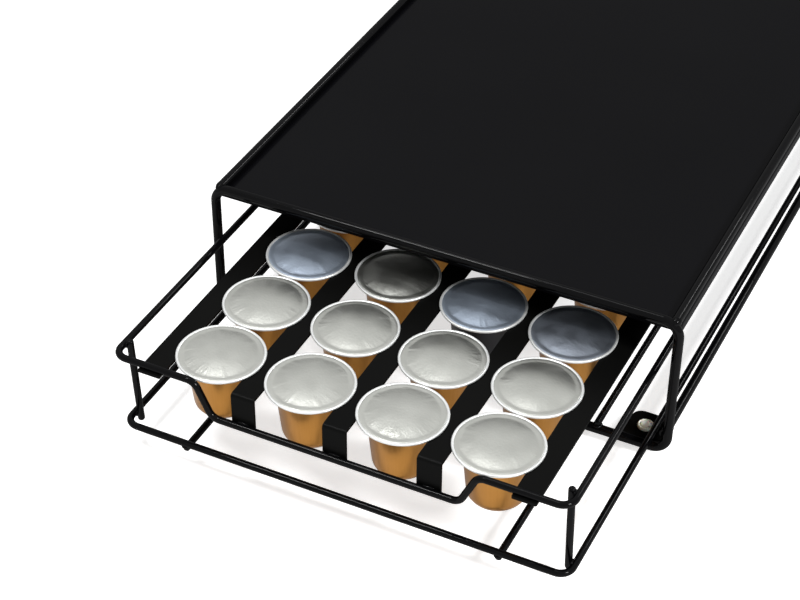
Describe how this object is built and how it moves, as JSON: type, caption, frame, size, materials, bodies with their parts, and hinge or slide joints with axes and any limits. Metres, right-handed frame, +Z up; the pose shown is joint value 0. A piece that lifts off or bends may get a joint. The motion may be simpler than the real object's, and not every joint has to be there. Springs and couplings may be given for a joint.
{
  "type": "coffee pod drawer",
  "caption": "Low wire-framed counter stand with a folded sheet top and a sliding wire drawer that hangs coffee pods by their rims between flat strips",
  "frame": {"origin": "middle of the bounding box's underside with the drawer pulled out as in the picture; the rubber feet stand on z = 0", "axes": "+Y runs from the drawer's front to the rear of the stand, +Z up, +X to the right seen from the front"},
  "size_m": [0.2156, 0.4994, 0.0755],
  "materials": {
    "gloss_wire": "gloss black powder coat on steel wire",
    "top_sheet": "semi-gloss black powder coat on folded sheet steel",
    "strip_sheet": "satin black powder coat on sheet steel",
    "cup_amber": "amber anodised drawn aluminium",
    "cup_black": "black lacquered drawn aluminium",
    "lid_foil": "matt silver aluminium foil, slightly crinkled",
    "foot_rubber": "translucent cream silicone rubber"
  },
  "bodies": {
    "stand": {"front_hoop": "gloss_wire", "rear_hoop": "gloss_wire", "top_pan": "top_sheet", "top_side_wire_left": "gloss_wire", "top_side_wire_right": "gloss_wire", "outer_rail_left": "gloss_wire", "outer_rail_right": "gloss_wire", "inner_rail_left": "gloss_wire", "inner_rail_right": "gloss_wire", "rear_stop_wire": "gloss_wire", "foot_plates": "strip_sheet", "rubber_feet": "foot_rubber"},
    "drawer": {"glide_wire_left": "gloss_wire", "glide_wire_right": "gloss_wire", "inner_strip_left": "strip_sheet", "inner_strip_middle": "strip_sheet", "inner_strip_right": "strip_sheet", "lower_loop": "gloss_wire", "outer_strip_left": "strip_sheet", "outer_strip_right": "strip_sheet", "post_front_left": "gloss_wire", "post_front_right": "gloss_wire", "post_rear_left": "gloss_wire", "post_rear_right": "gloss_wire", "upper_loop": "gloss_wire"},
    "pod_a1": {"pod_a1_cup": "cup_amber", "pod_a1_lid": "lid_foil"},
    "pod_a2": {"pod_a2_cup": "cup_amber", "pod_a2_lid": "lid_foil"},
    "pod_a3": {"pod_a3_cup": "cup_amber", "pod_a3_lid": "lid_foil"},
    "pod_a4": {"pod_a4_cup": "cup_amber", "pod_a4_lid": "lid_foil"},
    "pod_b1": {"pod_b1_cup": "cup_amber", "pod_b1_lid": "lid_foil"},
    "pod_b2": {"pod_b2_cup": "cup_amber", "pod_b2_lid": "lid_foil"},
    "pod_b3": {"pod_b3_cup": "cup_amber", "pod_b3_lid": "lid_foil"},
    "pod_b4": {"pod_b4_cup": "cup_amber", "pod_b4_lid": "lid_foil"},
    "pod_c1": {"pod_c1_cup": "cup_amber", "pod_c1_lid": "lid_foil"},
    "pod_c2": {"pod_c2_cup": "cup_amber", "pod_c2_lid": "lid_foil"},
    "pod_c3": {"pod_c3_cup": "cup_black", "pod_c3_lid": "lid_foil"},
    "pod_c4": {"pod_c4_cup": "cup_amber", "pod_c4_lid": "lid_foil"},
    "pod_d1": {"pod_d1_cup": "cup_amber", "pod_d1_lid": "lid_foil"},
    "pod_d2": {"pod_d2_cup": "cup_amber", "pod_d2_lid": "lid_foil"},
    "pod_d3": {"pod_d3_cup": "cup_amber", "pod_d3_lid": "lid_foil"},
    "pod_d4": {"pod_d4_cup": "cup_amber", "pod_d4_lid": "lid_foil"}
  },
  "joints": [
    {"name": "drawer_slide", "type": "slide", "parent": "stand", "child": "drawer", "axis": [0, -1, 0], "range_m": [-0.094, 0.231]},
    {"name": "pod_a1_lift", "type": "slide", "parent": "drawer", "child": "pod_a1", "axis": [0, 0, 1], "range_m": [0, 0.014]},
    {"name": "pod_a2_lift", "type": "slide", "parent": "drawer", "child": "pod_a2", "axis": [0, 0, 1], "range_m": [0, 0.014]},
    {"name": "pod_a3_lift", "type": "slide", "parent": "drawer", "child": "pod_a3", "axis": [0, 0, 1], "range_m": [0, 0.014]},
    {"name": "pod_a4_lift", "type": "slide", "parent": "drawer", "child": "pod_a4", "axis": [0, 0, 1], "range_m": [0, 0.014]},
    {"name": "pod_b1_lift", "type": "slide", "parent": "drawer", "child": "pod_b1", "axis": [0, 0, 1], "range_m": [0, 0.014]},
    {"name": "pod_b2_lift", "type": "slide", "parent": "drawer", "child": "pod_b2", "axis": [0, 0, 1], "range_m": [0, 0.014]},
    {"name": "pod_b3_lift", "type": "slide", "parent": "drawer", "child": "pod_b3", "axis": [0, 0, 1], "range_m": [0, 0.014]},
    {"name": "pod_b4_lift", "type": "slide", "parent": "drawer", "child": "pod_b4", "axis": [0, 0, 1], "range_m": [0, 0.014]},
    {"name": "pod_c1_lift", "type": "slide", "parent": "drawer", "child": "pod_c1", "axis": [0, 0, 1], "range_m": [0, 0.014]},
    {"name": "pod_c2_lift", "type": "slide", "parent": "drawer", "child": "pod_c2", "axis": [0, 0, 1], "range_m": [0, 0.014]},
    {"name": "pod_c3_lift", "type": "slide", "parent": "drawer", "child": "pod_c3", "axis": [0, 0, 1], "range_m": [0, 0.014]},
    {"name": "pod_c4_lift", "type": "slide", "parent": "drawer", "child": "pod_c4", "axis": [0, 0, 1], "range_m": [0, 0.014]},
    {"name": "pod_d1_lift", "type": "slide", "parent": "drawer", "child": "pod_d1", "axis": [0, 0, 1], "range_m": [0, 0.014]},
    {"name": "pod_d2_lift", "type": "slide", "parent": "drawer", "child": "pod_d2", "axis": [0, 0, 1], "range_m": [0, 0.014]},
    {"name": "pod_d3_lift", "type": "slide", "parent": "drawer", "child": "pod_d3", "axis": [0, 0, 1], "range_m": [0, 0.014]},
    {"name": "pod_d4_lift", "type": "slide", "parent": "drawer", "child": "pod_d4", "axis": [0, 0, 1], "range_m": [0, 0.014]}
  ]
}
